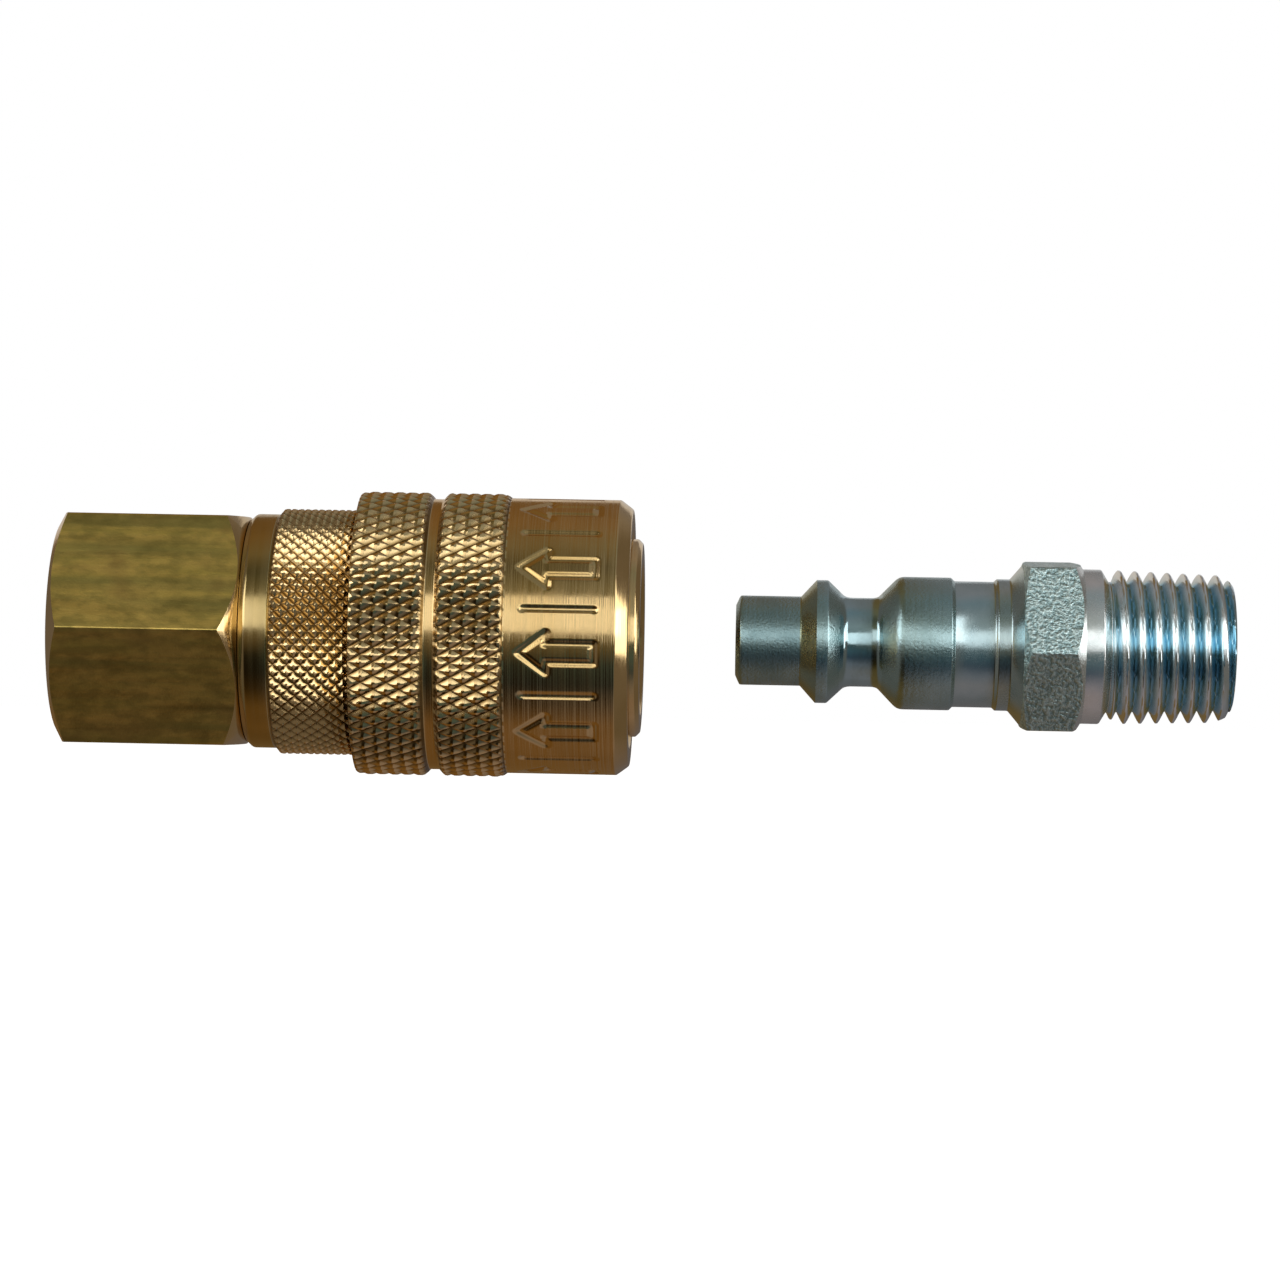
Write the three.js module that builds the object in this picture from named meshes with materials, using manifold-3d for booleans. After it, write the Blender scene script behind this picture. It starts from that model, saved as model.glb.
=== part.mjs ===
// Quick disconnect coupler: ball-lock air-line socket and its matching plug.
// Millimetres, +Z up. X runs along the coupling axis from the socket to the plug.
import * as THREE from "three";
import Module from "manifold-3d";

const wasm = await Module();
wasm.setup();

// ---- driving dimensions -------------------------------------------------
// Socket positions are distances from its rear hex face.
const ORIGIN_X = 51.4; // the frame's origin, halfway along the assembly
const ROUND = 36; // facets on turned parts
const FINE_ROUND = 24; // facets on small inner parts
const PIPE_PITCH = 1.411; // 1/4-18 taper pipe thread
const THREAD_DEPTH = 1.05;
const PIPE_TAPER = 1 / 32; // change of radius along a 1:16 taper

const SOCKET_HEX_FLATS = 20;
const SOCKET_HEX_END = 16.6;
const SPIGOT_END = 23.5;
const SPIGOT_R = 7.9;
const PORT_DEPTH = 11.5;
const PORT_MOUTH_R = 6.8; // thread groove bottom at the mouth
const VALVE_CHAMBER_START = 13;
const VALVE_CHAMBER_R = 6;
const WEB_HOLE_R = 3.6;

const RING_R = 10.3;
const RING_END = 19.2;
const KNURL_R = 10.8;
const SPRING_SHOULDER = 29.4;
const BARREL_R = 8.7;
const BARREL_END = 51.2;
const MOUTH_R = 6;
const MOUTH_STEP = 39.3;
const COLLAR_BORE_R = 5.55;
const SEAT_FACE = 26.3;
const SEAT_BORE_R = 4.15;
const SEAL_START = 29.5;

const BALL_COUNT = 8;
const BALL_R = 1.98;
const BALL_PLANE = 37.2;
const BALL_CENTRE_R = 7.53; // pushed out, clear of the plug
const BALL_TRAVEL = 0.9;

const SLEEVE_START = 26.2;
const SLEEVE_END = 50.3;
const SLEEVE_R = 12.45;
const SLEEVE_FRONT_R = 12.1;
const SLEEVE_SKIRT_R = 11.1;
const SLEEVE_STEP = 33.2;
const SLEEVE_LAND_R = 8.8;
const SLEEVE_TRAVEL = 2.8;
const SLEEVE_RECESS_R = 10;
const RAMP_R_AT_BALLS = 9.72;
const SNAP_RING_X = 48;
const SNAP_WIRE_R = 0.5;

const PLUG_TIP = 59.4; // distance of the plug's tip from the socket's rear face
const PLUG_HEX_FLATS = 14.29;
const PLUG_HEX_TURN = 4.3; // degrees about X
const PLUG_LENGTH = 43.4;
const PLUG_NOSE_BORE_R = 2.75;
const PLUG_REAR_BORE_R = 3.8;

// ---- materials ----------------------------------------------------------
function material(colour, roughness, metalness) {
  return new THREE.MeshStandardMaterial({ color: colour, roughness, metalness });
}

const turnedBrass = material(0xb08a4a, 0.28, 1);
const barBrass = material(0x8a7430, 0.42, 1);
const zincSteel = material(0x9aa6ab, 0.25, 1);
const ballSteel = material(0xc9ccd0, 0.12, 1);
const springSteel = material(0x7d8084, 0.35, 1);
const blackRubber = material(0x17181a, 0.75, 0);

// ---- solid helpers ------------------------------------------------------
// Weld a three.js geometry by position and turn it into a closed solid.
function toSolid(geometry) {
  const position = geometry.getAttribute("position");
  const corners = geometry.index ? Array.from(geometry.index.array) : [...position.array.keys()];
  const known = new Map();
  const points = [];
  const welded = [];
  for (let i = 0; i < position.count; i += 1) {
    const place = [position.getX(i), position.getY(i), position.getZ(i)];
    const key = place.map((value) => Math.round(value * 1e4)).join(",");
    if (!known.has(key)) {
      known.set(key, points.length / 3);
      points.push(...place);
    }
    welded.push(known.get(key));
  }
  const triangles = [];
  for (let i = 0; i < corners.length; i += 3) {
    const [a, b, c] = corners.slice(i, i + 3).map((corner) => welded[corner]);
    if (a !== b && b !== c && c !== a) triangles.push(a, b, c);
  }
  if (signedVolume(points, triangles) < 0) {
    for (let i = 0; i < triangles.length; i += 3) {
      [triangles[i + 1], triangles[i + 2]] = [triangles[i + 2], triangles[i + 1]];
    }
  }
  const mesh = new wasm.Mesh({
    numProp: 3,
    vertProperties: new Float32Array(points),
    triVerts: new Uint32Array(triangles),
  });
  return new wasm.Manifold(mesh);
}

function signedVolume(points, triangles) {
  const corner = (index) => new THREE.Vector3().fromArray(points, index * 3);
  let total = 0;
  for (let i = 0; i < triangles.length; i += 3) {
    const [a, b, c] = [0, 1, 2].map((step) => corner(triangles[i + step]));
    total += a.dot(b.cross(c)) / 6;
  }
  return total;
}

// Lay a geometry made about Y along X instead, measured from the socket's rear face.
function layAlongX(geometry) {
  geometry.rotateZ(-Math.PI / 2);
  geometry.translate(-ORIGIN_X, 0, 0);
  return geometry;
}

// A turned solid from [x, radius] points. It starts and ends on the axis, or on itself.
function turned(profile, facets = ROUND) {
  const points = profile.map(([x, radius]) => new THREE.Vector2(radius, x));
  return toSolid(layAlongX(new THREE.LatheGeometry(points, facets)));
}

function disc(x0, x1, radius, facets = ROUND) {
  return turned([[x0, 0], [x0, radius], [x1, radius], [x1, 0]], facets);
}

function ring(x0, x1, innerR, outerR, facets = FINE_ROUND) {
  const corners = [[x0, innerR], [x0, outerR], [x1, outerR], [x1, innerR], [x0, innerR]];
  return turned(corners, facets);
}

function hexagon(x0, x1, acrossFlats, turnDegrees = 0) {
  const cornerR = acrossFlats / Math.sqrt(3);
  const prism = new THREE.CylinderGeometry(cornerR, cornerR, x1 - x0, 6);
  prism.translate(0, (x0 + x1) / 2, 0);
  prism.rotateY(THREE.MathUtils.degToRad(turnDegrees - 30));
  return toSolid(layAlongX(prism));
}

// A threaded core: every profile point advances one pitch per turn, held between the ends.
function threadedCore(x0, x1, crestRadiusAt, facets = ROUND) {
  const outline = [];
  for (let x = x0 - PIPE_PITCH; x < x1 + PIPE_PITCH; x += PIPE_PITCH) {
    outline.push([x, 0], [x + PIPE_PITCH * 0.18, 0], [x + PIPE_PITCH * 0.59, THREAD_DEPTH]);
  }
  const last = outline.length + 1;
  const points = [new THREE.Vector2(0, x0)];
  for (const [x] of outline) points.push(new THREE.Vector2(1, x));
  points.push(new THREE.Vector2(0, x1));
  const lathe = new THREE.LatheGeometry(points, facets);
  const position = lathe.getAttribute("position");
  for (let i = 0; i < position.count; i += 1) {
    const row = i % (last + 1);
    if (row === 0 || row === last) continue;
    const turn = Math.floor(i / (last + 1)) / facets;
    const [start, depth] = outline[row - 1];
    const x = start + turn * PIPE_PITCH;
    const inside = x > x0 + 1e-6 && x < x1 - 1e-6;
    const held = Math.min(Math.max(x, x0), x1);
    const radius = crestRadiusAt(held) - (inside ? depth : THREAD_DEPTH);
    const angle = turn * 2 * Math.PI;
    position.setXYZ(i, radius * Math.sin(angle), held, radius * Math.cos(angle));
  }
  return toSolid(layAlongX(lathe));
}

// Wire wound about X: a straight rod bent along a helix of the given turns.
function coil(x0, x1, meanR, wireR, turns, stepsPerTurn, sides) {
  const steps = Math.round(turns * stepsPerTurn);
  const rod = new THREE.CylinderGeometry(wireR, wireR, 1, sides, steps);
  const position = rod.getAttribute("position");
  const sweep = turns * 2 * Math.PI;
  const rise = (x1 - x0) / sweep;
  for (let i = 0; i < position.count; i += 1) {
    const along = position.getY(i) + 0.5;
    const angle = along * sweep;
    const out = meanR + position.getX(i);
    const tilt = position.getZ(i) / Math.hypot(meanR, rise);
    const y = out * Math.cos(angle) + tilt * rise * Math.sin(angle);
    const z = out * Math.sin(angle) - tilt * rise * Math.cos(angle);
    position.setXYZ(i, x0 + along * (x1 - x0) + tilt * meanR - ORIGIN_X, y, z);
  }
  return toSolid(rod);
}

function addPart(group, name, solid, look) {
  const result = solid.getMesh();
  const geometry = new THREE.BufferGeometry();
  const width = result.numProp;
  const points = [];
  for (let i = 0; i < result.vertProperties.length; i += width) {
    points.push(...result.vertProperties.slice(i, i + 3));
  }
  geometry.setAttribute("position", new THREE.Float32BufferAttribute(points, 3));
  geometry.setIndex(Array.from(result.triVerts));
  geometry.computeVertexNormals();
  const mesh = new THREE.Mesh(geometry, look);
  mesh.name = name;
  group.add(mesh);
}

// ---- socket: rear adapter with the pipe port ----------------------------
function portAdapter() {
  const hex = hexagon(0, SOCKET_HEX_END, SOCKET_HEX_FLATS);
  const cornerCones = turned([
    [0, 0], [0, 9.35], [1.2, 11.55],
    [SOCKET_HEX_END - 1.5, 11.55], [SOCKET_HEX_END, 9.8], [SOCKET_HEX_END, 0],
  ]);
  const spigot = turned([
    [SOCKET_HEX_END - 1, 0], [SOCKET_HEX_END - 1, SPIGOT_R],
    [SPIGOT_END - 0.4, SPIGOT_R], [SPIGOT_END, SPIGOT_R - 0.4], [SPIGOT_END, 0],
  ]);
  const passage = turned([
    [-1, 0], [-1, 7.6], [1, 5.6],
    [PORT_DEPTH - 1, 5.35], [PORT_DEPTH, 5.3], [PORT_DEPTH + 0.9, WEB_HOLE_R],
    [VALVE_CHAMBER_START, WEB_HOLE_R], [VALVE_CHAMBER_START, VALVE_CHAMBER_R],
    [SPIGOT_END + 1, VALVE_CHAMBER_R], [SPIGOT_END + 1, 0],
  ]);
  const tap = threadedCore(-0.6, PORT_DEPTH - 1, (x) => PORT_MOUTH_R - x * PIPE_TAPER, FINE_ROUND);
  return hex.intersect(cornerCones).add(spigot).subtract(passage).subtract(tap);
}

// ---- socket: front body, one turned piece from the seam to the nose -----
function frontBody() {
  const outside = turned([
    [SOCKET_HEX_END, 0], [SOCKET_HEX_END, 9.85], [SOCKET_HEX_END + 0.55, RING_R],
    [RING_END, RING_R], [RING_END + 0.3, KNURL_R],
    [SPRING_SHOULDER, KNURL_R], [SPRING_SHOULDER, BARREL_R],
    [BARREL_END - 0.4, BARREL_R], [BARREL_END, BARREL_R - 0.4], [BARREL_END, 0],
  ]);
  const passage = turned([
    [SOCKET_HEX_END - 1, 0], [SOCKET_HEX_END - 1, SPIGOT_R + 0.1],
    [24.9, SPIGOT_R + 0.1], [24.9, 6.25], [SEAT_FACE, 6.25], [SEAT_FACE, SEAT_BORE_R],
    [SEAL_START, SEAT_BORE_R], [SEAL_START, COLLAR_BORE_R],
    [MOUTH_STEP, COLLAR_BORE_R], [MOUTH_STEP + 0.45, MOUTH_R],
    [BARREL_END - 0.8, MOUTH_R], [BARREL_END + 0.2, MOUTH_R + 1], [BARREL_END + 0.2, 0],
  ]);
  const ringGroove = ring(
    SNAP_RING_X - 0.6, SNAP_RING_X + 0.6, SNAP_WIRE_R + 7.65, BARREL_R + 1, ROUND,
  );
  let body = outside.subtract(passage).subtract(ringGroove);
  for (let i = 0; i < BALL_COUNT; i += 1) {
    body = body.subtract(ballHole(i));
  }
  return body;
}

function ballAngle(index) {
  return (index * 2 * Math.PI) / BALL_COUNT + Math.PI / BALL_COUNT;
}

// A radial hole with a narrower lip at the bore, which keeps the ball in.
function ballHole(index) {
  const lip = new THREE.CylinderGeometry(1.8, 1.8, 2, 16);
  lip.translate(0, 5.5, 0);
  const hole = new THREE.CylinderGeometry(2.06, 2.06, 4, 16);
  hole.translate(0, 7.75, 0);
  const turn = ballAngle(index);
  const solids = [lip, hole].map((cylinder) => {
    cylinder.rotateX(turn);
    cylinder.translate(BALL_PLANE - ORIGIN_X, 0, 0);
    return toSolid(cylinder);
  });
  return solids[0].add(solids[1]);
}

function lockingBall(index) {
  const ball = new THREE.SphereGeometry(BALL_R, 12, 8);
  ball.translate(0, BALL_CENTRE_R, 0);
  ball.rotateX(ballAngle(index));
  ball.translate(BALL_PLANE - ORIGIN_X, 0, 0);
  return toSolid(ball);
}

// ---- socket: valve and seals --------------------------------------------
function valvePoppet() {
  const blank = turned([
    [21.9, 0], [21.9, 2.7], [22.2, 3], [23.6, 3], [23.6, 5.4], [25.4, 5.4],
    [25.4, 3.5], [29.3, 3.5], [29.6, 3.2], [29.6, 0],
  ], FINE_ROUND);
  const hollow = disc(26.2, 31, 2.1, 16);
  let poppet = blank.subtract(hollow);
  for (const turn of [0, Math.PI / 2]) {
    const slot = new THREE.BoxGeometry(5, 2, 9);
    slot.translate(29, 0, 0);
    slot.rotateX(turn);
    slot.translate(-ORIGIN_X, 0, 0);
    poppet = poppet.subtract(toSolid(slot));
  }
  return poppet;
}

function valveSeal() {
  return ring(25.42, 26.25, 3.6, 5.3);
}

function bodyORing() {
  const profile = [];
  for (let i = 0; i <= 6; i += 1) {
    const angle = (i % 6) * (Math.PI / 3);
    profile.push([24.2 + 0.6 * Math.cos(angle), 7.1 + 0.6 * Math.sin(angle)]);
  }
  return turned(profile, FINE_ROUND);
}

function plugSeal() {
  return turned([
    [29.55, 4.2], [29.55, 5.5], [31.85, 5.5], [31.85, 4.3], [31.3, 4.0], [30.2, 4.0], [29.55, 4.2],
  ], FINE_ROUND);
}

function sealWasher() {
  return ring(31.9, 32.4, 4.3, 5.5);
}

function valveSpring() {
  return coil(13.5, 23.1, 4.4, 0.42, 5, 12, 5);
}

// ---- socket: locking sleeve and its spring ------------------------------
function rampRadius(x) {
  return RAMP_R_AT_BALLS + (x - BALL_PLANE) * (BALL_TRAVEL / SLEEVE_TRAVEL);
}

function rampPlace(radius) {
  return BALL_PLANE + (radius - RAMP_R_AT_BALLS) * (SLEEVE_TRAVEL / BALL_TRAVEL);
}

function lockingSleeve() {
  const outside = turned([
    [SLEEVE_START, 0], [SLEEVE_START, 11.35], [SLEEVE_START + 0.12, 11.85],
    [SLEEVE_START + 0.42, 12.25], [SLEEVE_START + 0.85, SLEEVE_R],
    [32.4, SLEEVE_R], [32.8, 11.9], [33.65, 11.9], [34.05, SLEEVE_R],
    [39.4, SLEEVE_R], [39.75, SLEEVE_FRONT_R],
    [49.2, SLEEVE_FRONT_R], [50.15, 11.4], [SLEEVE_END, 11.25], [SLEEVE_END, 0],
  ]);
  const inside = turned([
    [SLEEVE_START - 1, 0], [SLEEVE_START - 1, SLEEVE_SKIRT_R], [SLEEVE_STEP, SLEEVE_SKIRT_R],
    [SLEEVE_STEP, SLEEVE_LAND_R], [rampPlace(SLEEVE_LAND_R), SLEEVE_LAND_R],
    [rampPlace(SLEEVE_RECESS_R), SLEEVE_RECESS_R], [41, SLEEVE_RECESS_R],
    [41.6, SLEEVE_LAND_R], [44.6, SLEEVE_LAND_R], [44.6, 9.4],
    [SLEEVE_END - 0.3, 9.4], [SLEEVE_END + 0.2, 9.9], [SLEEVE_END + 0.2, 0],
  ]);
  return outside.subtract(inside);
}

function sleeveSpring() {
  return coil(29.9, 32.7, 9.65, 0.4, 3, 18, 5);
}

function sleeveSnapRing() {
  const rod = new THREE.CylinderGeometry(SNAP_WIRE_R, SNAP_WIRE_R, 1, 6, 24);
  const position = rod.getAttribute("position");
  const sweep = THREE.MathUtils.degToRad(336);
  const start = Math.PI / 2 + (2 * Math.PI - sweep) / 2;
  for (let i = 0; i < position.count; i += 1) {
    const angle = start + (position.getY(i) + 0.5) * sweep;
    const out = 8.7 + position.getX(i);
    const x = SNAP_RING_X + position.getZ(i) - ORIGIN_X;
    position.setXYZ(i, x, out * Math.cos(angle), out * Math.sin(angle));
  }
  return toSolid(rod);
}

// ---- plug ---------------------------------------------------------------
function plug() {
  const place = (profile) => profile.map(([x, radius]) => [x + PLUG_TIP, radius]);
  const front = turned(place([
    [0, 0], [0, 3.45], [0.12, 3.72], [0.45, 3.925], [5.7, 3.925], [7.1, 5.4], [8.1, 5.4],
    [9.68, 3.9], [12.42, 3.9], [14.3, 5.825], [18.84, 5.825], [19.15, 5.525],
    [22.6, 5.525], [22.85, 5.775], [24, 5.775], [25, 7.1], [26, 7.1], [26, 0],
  ]));
  const hexFlange = hexagon(PLUG_TIP + 25, PLUG_TIP + 30.35, PLUG_HEX_FLATS, PLUG_HEX_TURN);
  const cornerCones = turned(place([
    [24.9, 0], [24.9, 6.95], [25.45, 8.3], [29.45, 8.3], [30.35, 6.775], [30.35, 0],
  ]));
  const shank = turned(place([
    [26, 0], [26, 6.775], [31.95, 6.775], [32.55, 5.9], [33.5, 5.7], [33.5, 0],
  ]));
  const thread = threadedCore(
    PLUG_TIP + 32.3, PLUG_TIP + PLUG_LENGTH,
    (x) => 6.75 - (x - PLUG_TIP - 33) * PIPE_TAPER,
    FINE_ROUND,
  );
  const endCone = turned(place([
    [30, 0], [30, 7.5], [41.6, 7.5], [42.2, 6.4], [42.9, 6.05], [PLUG_LENGTH, 5.6], [PLUG_LENGTH, 0],
  ]));
  const bore = turned(place([
    [-1, 0], [-1, 3.35], [0.2, 2.95], [0.5, PLUG_NOSE_BORE_R], [19.5, PLUG_NOSE_BORE_R],
    [20.5, PLUG_REAR_BORE_R], [PLUG_LENGTH - 0.4, PLUG_REAR_BORE_R],
    [PLUG_LENGTH + 1, PLUG_REAR_BORE_R + 1], [PLUG_LENGTH + 1, 0],
  ]), 32);
  const rear = hexFlange.intersect(cornerCones).add(shank).add(thread.intersect(endCone));
  return front.add(rear).subtract(bore);
}

// ---- assembly -----------------------------------------------------------
const coupler = new THREE.Group();
coupler.name = "quick_disconnect_coupler";
addPart(coupler, "port_adapter", portAdapter(), barBrass);
addPart(coupler, "front_body", frontBody(), turnedBrass);
addPart(coupler, "body_o_ring", bodyORing(), blackRubber);
addPart(coupler, "valve_poppet", valvePoppet(), turnedBrass);
addPart(coupler, "valve_seal", valveSeal(), blackRubber);
addPart(coupler, "valve_spring", valveSpring(), springSteel);
addPart(coupler, "plug_seal", plugSeal(), blackRubber);
addPart(coupler, "seal_washer", sealWasher(), zincSteel);
for (let i = 0; i < BALL_COUNT; i += 1) {
  addPart(coupler, `locking_ball_${i + 1}`, lockingBall(i), ballSteel);
}
addPart(coupler, "locking_sleeve", lockingSleeve(), turnedBrass);
addPart(coupler, "sleeve_spring", sleeveSpring(), springSteel);
addPart(coupler, "sleeve_snap_ring", sleeveSnapRing(), springSteel);
addPart(coupler, "plug", plug(), zincSteel);

export default coupler;
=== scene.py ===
"""Looks for the quick disconnect coupler: detailed meshes, metal finishes, studio light and camera.

Lengths along the pieces are in millimetres. Socket lengths run forward from the socket's rear face,
plug lengths run back from the plug's tip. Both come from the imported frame.
"""

import math

import bpy
import numpy as np
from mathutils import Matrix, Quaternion, Vector


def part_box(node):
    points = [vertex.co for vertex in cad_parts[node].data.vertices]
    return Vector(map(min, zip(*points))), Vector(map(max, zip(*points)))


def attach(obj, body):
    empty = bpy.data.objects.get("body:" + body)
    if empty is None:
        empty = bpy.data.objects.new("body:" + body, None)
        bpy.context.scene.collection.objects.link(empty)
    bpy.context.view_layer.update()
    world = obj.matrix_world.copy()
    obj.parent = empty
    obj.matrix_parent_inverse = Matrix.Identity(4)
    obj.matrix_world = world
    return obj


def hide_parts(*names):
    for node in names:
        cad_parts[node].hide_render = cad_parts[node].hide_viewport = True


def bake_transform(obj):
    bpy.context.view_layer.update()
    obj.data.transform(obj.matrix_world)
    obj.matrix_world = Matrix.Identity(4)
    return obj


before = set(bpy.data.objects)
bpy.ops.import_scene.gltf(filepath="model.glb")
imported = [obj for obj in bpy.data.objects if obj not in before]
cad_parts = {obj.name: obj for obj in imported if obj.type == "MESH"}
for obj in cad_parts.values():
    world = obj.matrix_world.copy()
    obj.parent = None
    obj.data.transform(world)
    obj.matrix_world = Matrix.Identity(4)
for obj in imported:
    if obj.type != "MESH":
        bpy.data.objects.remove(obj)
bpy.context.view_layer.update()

MM = 0.001
SOCKET_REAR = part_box("port_adapter")[0].x / MM
PLUG_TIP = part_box("plug")[0].x / MM

PIPE_PITCH = 1.411
PIPE_TAPER = 1 / 32
THREAD_DEPTH = 1.05
SOCKET_HEX_FLATS = 20
SOCKET_HEX_END = 16.6
PLUG_HEX_FLATS = 14.29
PLUG_HEX_TURN = math.radians(-4.3)
PLUG_HEX_START = 25
PLUG_HEX_END = 30.35
BALL_COUNT = 8
BALL_R = 1.98

# Cones that cut the corners of the hexagons: the radius where each cone meets its end of the
# hexagon, and how far it runs along X while it grows by one millimetre.
SOCKET_REAR_CONE = (9.35, 0.545)
SOCKET_FRONT_CONE = (9.8, 0.857)
PLUG_FRONT_CONE = (6.95, 0.45)
PLUG_REAR_CONE = (6.775, 0.61)

RING_R = 10.3
FINE_R = 10.8
COARSE_R = 12.45
MARK_RADIUS = 12.1  # smooth front of the sleeve

# Diamond knurls: diamonds around, their pitch along X, the depth of the deeper set of grooves, which
# way that set slants, and the depth of the other set as a share of it.
COARSE_KNURL = {
    "around": 61, "pitch": 2.2, "depth": 0.32, "slant": -1, "share": 0.80, "radius": COARSE_R,
}
FINE_KNURL = {
    "around": 56, "pitch": 1.2, "depth": 0.34, "slant": 1, "share": 0.88, "radius": FINE_R,
}
KNURL_STEPS = 10  # mesh cells across one knurl diamond


# ---- outlines -------------------------------------------------------------
def softened(corners, steps=4):
    """A turned outline from (x, radius, size) corners, each rounded over the given size."""
    points = []
    for i, (x, radius, size) in enumerate(corners):
        here = np.array([x, radius])
        if size == 0 or i in (0, len(corners) - 1):
            points.append(here)
            continue
        before = np.array(corners[i - 1][:2]) - here
        after = np.array(corners[i + 1][:2]) - here
        start = here + before / np.linalg.norm(before) * min(size, np.linalg.norm(before) / 2)
        end = here + after / np.linalg.norm(after) * min(size, np.linalg.norm(after) / 2)
        for t in np.linspace(0, 1, steps + 1):
            points.append((1 - t) ** 2 * start + 2 * t * (1 - t) * here + t * t * end)
    return np.array(points)


class Outline:
    """Rows of a turned piece. Each row has an x and a radius at every angle, and a material number."""

    def __init__(self, angles):
        self.angles = angles
        self.x, self.radius, self.finish, self.knurled = [], [], [], []

    def add(self, points, finish=0):
        for x, radius in points:
            self.row(x, radius, finish)

    def row(self, x, radius, finish=0, knurled=False):
        self.x.append(np.broadcast_to(x, self.angles.shape))
        self.radius.append(np.broadcast_to(radius, self.angles.shape))
        self.finish.append(finish)
        self.knurled.append(knurled)


def evenly(count):
    return np.arange(count) * 2 * math.pi / count


# ---- surface patterns -----------------------------------------------------
def knurl_height(around, along, share):
    """Height, 0 in the deep grooves to 1 on a blunt tip; one unit is one diamond."""

    def ridge(value):
        return np.abs((value + 0.5) % 1 - 0.5) * 2

    deep_side = 1 - ridge(around + along)
    shallow_side = share * (1 - ridge(around - along))
    sharpness = 8
    side = (deep_side**sharpness + shallow_side**sharpness) ** (1 / sharpness)
    crown = 0.24
    return 1 - np.clip((side - crown) / (1 - crown), 0, 1)


def add_knurl(outline, x0, x1, knurl, finish, turned_to):
    """Rows of a knurled band. turned_to gives the radius that its edges were turned down to."""
    step = knurl["pitch"] / KNURL_STEPS
    first = math.ceil(x0 / step)
    around = outline.angles / (2 * math.pi) * knurl["around"]
    for x in np.arange(first, math.floor(x1 / step) + 1) * step:
        height = knurl_height(around, knurl["slant"] * x / knurl["pitch"], knurl["share"])
        surface = knurl["radius"] - knurl["depth"] * (1 - height)
        outline.row(x, np.minimum(surface, turned_to(x)), finish, knurled=True)


def thread_height(turns):
    """Height, 0 in the root to 1 on the crest, of a pipe thread with softly rounded crests."""
    root_flat = 0.04
    flank = 0.84
    crest_swell = 0.10
    from_root = np.abs(2 * (turns % 1) - 1)
    ramp = np.clip((from_root - root_flat) / flank, 0, 1)
    return ramp + crest_swell * np.sin(math.pi * ramp) * ramp


def add_thread(outline, x0, x1, crest_radius, fade, steps, finish, cut, inside=False):
    """Right-hand thread rows from x0 to x1. The thread grows from x0 over the fade length."""
    turn = outline.angles / (2 * math.pi)
    count = round(abs(x1 - x0) / PIPE_PITCH * steps) + 1
    for x in np.linspace(x0, x1, count):
        height = thread_height(x / PIPE_PITCH + turn)
        if inside:
            height = 1 - height
        grown = min(1, abs(x - x0) / fade)
        radius = crest_radius(x) - THREAD_DEPTH * (1 - height * grown)
        outline.row(x, cut(x, radius), finish)


def hex_angles(turn, flat_steps, corner_r, flats):
    """Angles that put columns on a hexagon's rounded corners, and the radius at each."""
    apothem = flats / 2
    centre = (apothem - corner_r) / math.cos(math.pi / 6)
    edge = math.atan2(corner_r * 0.5, centre + corner_r * math.cos(math.pi / 6))
    corner = np.linspace(-edge, edge, 7)
    between = np.linspace(edge, math.pi / 3 - edge, flat_steps + 1)[1:-1]
    sector = np.concatenate([corner, between])
    rounded = centre * np.cos(corner) + np.sqrt(corner_r**2 - (centre * np.sin(corner)) ** 2)
    flat = apothem / np.cos(between - math.pi / 6)
    radii = np.concatenate([rounded, flat])
    angles = np.concatenate([sector + turn + k * math.pi / 3 for k in range(6)])
    return angles, np.tile(radii, 6)


# ---- meshes ---------------------------------------------------------------
def finish_mesh(name, points, faces, finishes, materials, sharp=35):
    """A smooth-shaded object in metres from points in millimetres."""
    mesh = bpy.data.meshes.new(name)
    mesh.from_pydata((np.asarray(points) * MM).tolist(), [], faces)
    for material in materials:
        mesh.materials.append(material)
    mesh.polygons.foreach_set("material_index", finishes)
    mesh.shade_smooth()
    mesh.set_sharp_from_angle(angle=math.radians(sharp))
    mesh.update()
    piece = bpy.data.objects.new(name, mesh)
    bpy.context.scene.collection.objects.link(piece)
    return piece


def turned_piece(name, outline, materials, datum, sharp=35):
    """A closed ring-shaped piece: its rows go round the outline and come back to the first."""
    x, radius = np.array(outline.x), np.array(outline.radius)
    rows, columns = x.shape
    points = np.stack(
        [x + datum, -radius * np.cos(outline.angles), radius * np.sin(outline.angles)], axis=-1
    )
    here = np.arange(rows * columns).reshape(rows, columns)
    after = np.roll(here, -1, 0)
    quads = np.stack([here, np.roll(here, -1, 1), np.roll(after, -1, 1), after], axis=-1)
    if np.sum((np.roll(x, -1, 0) - x) * (np.roll(radius, -1, 0) + radius)) > 0:
        quads = quads[..., ::-1]
    faces, finishes = [], []
    for j in range(rows):
        band = quads[j]
        if outline.knurled[j] and outline.knurled[(j + 1) % rows]:
            band = split_low(band, radius.ravel())
        faces.extend(band.tolist())
        finishes.extend([outline.finish[j]] * len(band))
    return finish_mesh(name, points.reshape(-1, 3), faces, finishes, materials, sharp)


def split_low(quads, heights):
    """Two triangles from each quad, split along its lower diagonal, which is where a groove runs."""
    a, b, c, d = quads.T
    first_is_low = heights[a] + heights[c] <= heights[b] + heights[d]
    one = np.where(first_is_low, [a, b, c], [b, c, d])
    other = np.where(first_is_low, [a, c, d], [b, d, a])
    return np.concatenate([one.T, other.T])


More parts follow.
